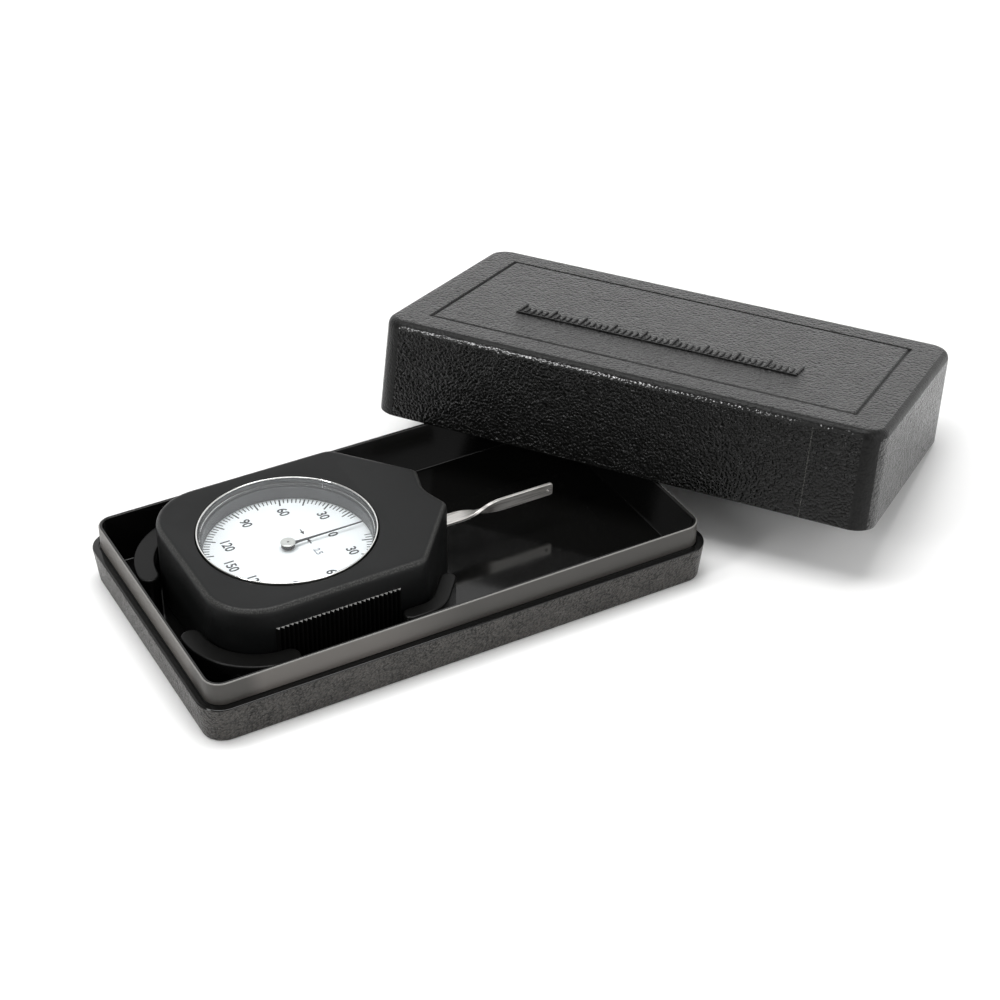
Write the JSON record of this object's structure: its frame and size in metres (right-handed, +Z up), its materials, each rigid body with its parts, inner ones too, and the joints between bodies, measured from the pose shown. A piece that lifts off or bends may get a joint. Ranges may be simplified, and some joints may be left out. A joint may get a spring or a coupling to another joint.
{
  "type": "dial tension gauge",
  "caption": "Hand-held dial tension gauge with a twisted steel feeler, lying in its fitted case tray with the lid leaning against it.",
  "frame": {"origin": "centre of the case tray's underside", "axes": "+X along the tray towards the feeler's tip, +Y to the back, +Z up, square to the dial"},
  "size_m": [0.2515, 0.1675, 0.0458],
  "materials": {
    "case_plastic": "grained outside, glossy inside",
    "body_plastic": "fine matt moulding",
    "chrome": "polished",
    "steel": "ground",
    "brass": "turned and milled",
    "black_metal": "satin black",
    "grey_ring": "satin grey",
    "white_paint": "matt off-white",
    "black_paint": "satin black",
    "ruby": "polished",
    "glass": "clear"
  },
  "bodies": {
    "case_base": {"case_tray": "case_plastic"},
    "case_cover": {"case_lid": "case_plastic"},
    "gauge_body": {"gauge_housing": "body_plastic", "rear_cover": "black_metal", "cover_screw_1": "steel", "cover_screw_2": "steel", "cover_screw_3": "steel", "cover_screw_4": "steel", "bezel_ring": "chrome", "crystal": "glass", "recess_ring": "grey_ring", "dial_plate": "white_paint", "bottom_plate": "brass", "top_plate": "brass", "plate_pillar_1": "brass", "plate_pillar_2": "brass", "plate_pillar_3": "brass", "plate_pillar_4": "brass", "plate_screw_1": "steel", "plate_screw_2": "steel", "plate_screw_3": "steel", "plate_screw_4": "steel", "lever_bush_lower": "brass", "lever_bush_upper": "brass", "pointer_jewel_lower": "ruby", "pointer_jewel_upper": "ruby", "stop_pin_1": "steel", "stop_pin_2": "steel", "measuring_spring_1": "steel", "measuring_spring_2": "steel", "spring_block": "brass", "block_screw_1": "steel", "block_screw_2": "steel", "hairspring": "steel", "hairspring_stud": "brass"},
    "feeler_lever": {"lever_arbor": "steel", "lever_hub": "brass", "feeler": "steel", "feeler_screw_1": "steel", "feeler_screw_2": "steel", "sector_gear": "brass"},
    "pointer_spindle": {"pointer_arbor": "steel", "pointer": "black_paint", "pointer_cap": "chrome"}
  },
  "joints": [
    {"name": "lid_lift", "type": "slide", "parent": "case_base", "child": "case_cover", "axis": [0, 0, 1], "range_m": [0, 0.05]},
    {"name": "gauge_lift", "type": "slide", "parent": "case_base", "child": "gauge_body", "axis": [0, 0, 1], "range_m": [0, 0.06]},
    {"name": "feeler_swing", "type": "hinge", "parent": "gauge_body", "child": "feeler_lever", "pos_m": [-0.0043, 0, 0.0133], "axis": [0, 0, 1], "range_deg": [-9.7, 9.7], "stiffness_Nm_per_rad": 0.46, "deforming": ["measuring_spring_1", "measuring_spring_2"]},
    {"name": "pointer_turn", "type": "hinge", "parent": "gauge_body", "child": "pointer_spindle", "pos_m": [-0.0328, 0, 0.0212], "axis": [0, 0, 1], "range_deg": [-175, 175], "deforming": ["hairspring"]}
  ],
  "couplings": [
    {"joint": "pointer_turn", "follows": "feeler_swing", "ratio": -18}
  ]
}
